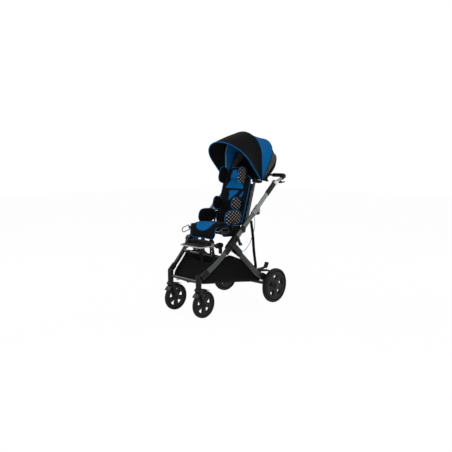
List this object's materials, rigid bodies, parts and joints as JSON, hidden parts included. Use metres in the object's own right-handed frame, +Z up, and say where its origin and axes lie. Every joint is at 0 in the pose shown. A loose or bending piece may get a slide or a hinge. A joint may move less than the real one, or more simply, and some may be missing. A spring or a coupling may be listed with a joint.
{
  "type": "special needs buggy",
  "caption": "Folding special needs buggy with swivelling front casters, a padded tilting seat with side pads, a fan canopy, a footrest, a push handle and a storage basket.",
  "frame": {"origin": "on the floor under the middle of the overall box", "axes": "+X to the buggy's own left, -Y to its front, +Z up"},
  "size_m": [0.646, 1.067, 1.4743],
  "materials": {
    "frame_tube": "graphite anodised, satin",
    "silver_metal": "satin anodised",
    "steel_pin": "zinc plated",
    "dark_metal": "dark grey powder coat",
    "black_moulding": "glass-filled nylon, fine texture",
    "blue_moulding": "moulded, semi-gloss",
    "wheel_moulding": "moulded mag wheel",
    "tyre_rubber": "solid tyre, fine tread",
    "grip_foam": "closed-cell foam",
    "black_fabric": "woven polyester",
    "blue_fabric": "woven polyester",
    "mesh_fabric": "spacer mesh",
    "webbing": "woven webbing",
    "cable_sheath": "plastic cable sheath"
  },
  "bodies": {
    "chassis": {"main_tubes": "frame_tube", "front_tubes": "frame_tube", "knuckles": "black_moulding", "caster_housings": "black_moulding", "cross_tubes": "frame_tube", "seat_docks": "black_moulding", "hinge_bases": "black_moulding", "pivot_pins": "steel_pin", "storage_basket": "black_fabric", "tilt_cable": "cable_sheath"},
    "fold_knob": {"fold_knob": "blue_moulding"},
    "rear_frame": {"rear_legs": "dark_metal", "leg_clevises": "black_moulding", "axle_brackets": "black_moulding", "rear_axle_tube": "dark_metal", "rear_axle_pins": "steel_pin", "limit_straps": "webbing"},
    "rear_wheel_left": {"rear_rim_left": "wheel_moulding", "rear_tyre_left": "tyre_rubber"},
    "rear_wheel_right": {"rear_rim_right": "wheel_moulding", "rear_tyre_right": "tyre_rubber"},
    "brake": {"brake_pedal": "black_moulding", "brake_shaft": "dark_metal"},
    "caster_left": {"caster_fork_left": "black_moulding", "front_axle_left": "steel_pin"},
    "caster_right": {"caster_fork_right": "black_moulding", "front_axle_right": "steel_pin"},
    "front_wheel_left": {"front_rim_left": "wheel_moulding", "front_tyre_left": "tyre_rubber"},
    "front_wheel_right": {"front_rim_right": "wheel_moulding", "front_tyre_right": "tyre_rubber"},
    "handle_posts": {"handle_posts": "frame_tube", "post_sleeves": "black_moulding"},
    "handle_slider": {"handle_sliders": "silver_metal", "handle_joints": "black_moulding"},
    "push_handle": {"push_handle": "silver_metal", "handle_grips": "grip_foam"},
    "tilt_trigger": {"tilt_trigger": "black_moulding"},
    "seat": {"seat_frame": "dark_metal", "seat_pan": "black_moulding", "seat_cushion": "black_fabric", "hip_pads": "black_fabric", "footrest_hanger": "dark_metal"},
    "tie_loops": {"tie_loops": "steel_pin"},
    "footrest": {"footrest_carriage": "black_moulding"},
    "foot_tray": {"foot_tray": "black_moulding", "foot_cup": "black_fabric"},
    "backrest": {"back_frame": "dark_metal", "back_shell": "black_moulding", "back_cushion": "blue_fabric", "trunk_pads": "black_fabric", "canopy_clamps": "black_moulding"},
    "headrest": {"headrest_bracket": "dark_metal", "headrest_pads": "blue_fabric"},
    "canopy_rear": {"canopy_bow_rear": "dark_metal", "canopy_rear_panel": "mesh_fabric"},
    "canopy_middle": {"canopy_bow_middle": "dark_metal", "canopy_middle_panel": "blue_fabric"},
    "canopy_front": {"canopy_bow_front": "dark_metal", "canopy_front_panel": "black_fabric"}
  },
  "joints": [
    {"name": "chassis_fold", "type": "hinge", "parent": "chassis", "child": "rear_frame", "pos_m": [0.247, -0.18705, 0.563], "axis": [1, 0, 0], "range_deg": [0, 30], "deforming": ["limit_straps"]},
    {"name": "fold_knob_pull", "type": "slide", "parent": "chassis", "child": "fold_knob", "axis": [1, 0, 0], "range_m": [0, 0.006]},
    {"name": "rear_wheel_left_spin", "type": "hinge", "parent": "rear_frame", "child": "rear_wheel_left", "pos_m": [0.294, 0.31145, 0.15], "axis": [1, 0, 0], "continuous": true},
    {"name": "rear_wheel_right_spin", "type": "hinge", "parent": "rear_frame", "child": "rear_wheel_right", "pos_m": [-0.294, 0.31145, 0.15], "axis": [1, 0, 0], "continuous": true},
    {"name": "brake_pedal_turn", "type": "hinge", "parent": "rear_frame", "child": "brake", "pos_m": [0.247, 0.17292, 0.30102], "axis": [1, 0, 0], "range_deg": [-8, 0]},
    {"name": "caster_left_swivel", "type": "hinge", "parent": "chassis", "child": "caster_left", "pos_m": [0.166, -0.47555, 0.3], "axis": [0, 0, 1], "continuous": true},
    {"name": "caster_right_swivel", "type": "hinge", "parent": "chassis", "child": "caster_right", "pos_m": [-0.166, -0.47555, 0.3], "axis": [0, 0, 1], "continuous": true},
    {"name": "front_wheel_left_spin", "type": "hinge", "parent": "caster_left", "child": "front_wheel_left", "pos_m": [0.166, -0.42355, 0.11], "axis": [1, 0, 0], "continuous": true},
    {"name": "front_wheel_right_spin", "type": "hinge", "parent": "caster_right", "child": "front_wheel_right", "pos_m": [-0.166, -0.42355, 0.11], "axis": [1, 0, 0], "continuous": true},
    {"name": "handle_fold", "type": "hinge", "parent": "chassis", "child": "handle_posts", "pos_m": [0.247, 0.12688, 0.79354], "axis": [1, 0, 0], "range_deg": [-90, 0]},
    {"name": "handle_extend", "type": "slide", "parent": "handle_posts", "child": "handle_slider", "axis": [0, 0.7513, 0.66], "range_m": [0, 0.08]},
    {"name": "handle_angle", "type": "hinge", "parent": "handle_slider", "child": "push_handle", "pos_m": [0.247, 0.35988, 1.04348], "axis": [1, 0, 0], "range_deg": [-60, 25]},
    {"name": "tilt_trigger_squeeze", "type": "hinge", "parent": "push_handle", "child": "tilt_trigger", "pos_m": [0.247, 0.44043, 1.04944], "axis": [1, 0, 0], "range_deg": [0, 20]},
    {"name": "seat_tilt", "type": "hinge", "parent": "chassis", "child": "seat", "pos_m": [0.205, -0.08567, 0.62943], "axis": [1, 0, 0], "range_deg": [-6, 5]},
    {"name": "tie_loop_swing", "type": "hinge", "parent": "seat", "child": "tie_loops", "pos_m": [0.1895, -0.24405, 0.672], "axis": [1, 0, 0], "range_deg": [-20, 20]},
    {"name": "footrest_slide", "type": "slide", "parent": "seat", "child": "footrest", "axis": [0, 0, 1], "range_m": [-0.04, 0]},
    {"name": "foot_tray_angle", "type": "hinge", "parent": "footrest", "child": "foot_tray", "pos_m": [0.1, -0.24972, 0.55], "axis": [1, 0, 0], "range_deg": [-15, 15]},
    {"name": "back_recline", "type": "hinge", "parent": "seat", "child": "backrest", "pos_m": [0.165, 0.03595, 0.648], "axis": [1, 0, 0], "range_deg": [-8, 6]},
    {"name": "headrest_slide", "type": "slide", "parent": "backrest", "child": "headrest", "axis": [0, 0.2924, 0.9563], "range_m": [0, 0.05]},
    {"name": "canopy_rear_fold", "type": "hinge", "parent": "backrest", "child": "canopy_rear", "pos_m": [0.205, 0.22373, 1.04959], "axis": [1, 0, 0], "range_deg": [-16, 0], "deforming": ["canopy_rear_panel"]},
    {"name": "canopy_middle_fold", "type": "hinge", "parent": "canopy_rear", "child": "canopy_middle", "pos_m": [0.199, 0.22373, 1.04959], "axis": [1, 0, 0], "range_deg": [-24, 0], "deforming": ["canopy_middle_panel"]},
    {"name": "canopy_front_fold", "type": "hinge", "parent": "canopy_middle", "child": "canopy_front", "pos_m": [0.193, 0.22373, 1.04959], "axis": [1, 0, 0], "range_deg": [-30, 0], "deforming": ["canopy_front_panel"]}
  ],
  "couplings": [
    {"joint": "canopy_middle_fold", "follows": "canopy_rear_fold", "ratio": 1.5},
    {"joint": "canopy_front_fold", "follows": "canopy_rear_fold", "ratio": 1.875}
  ]
}
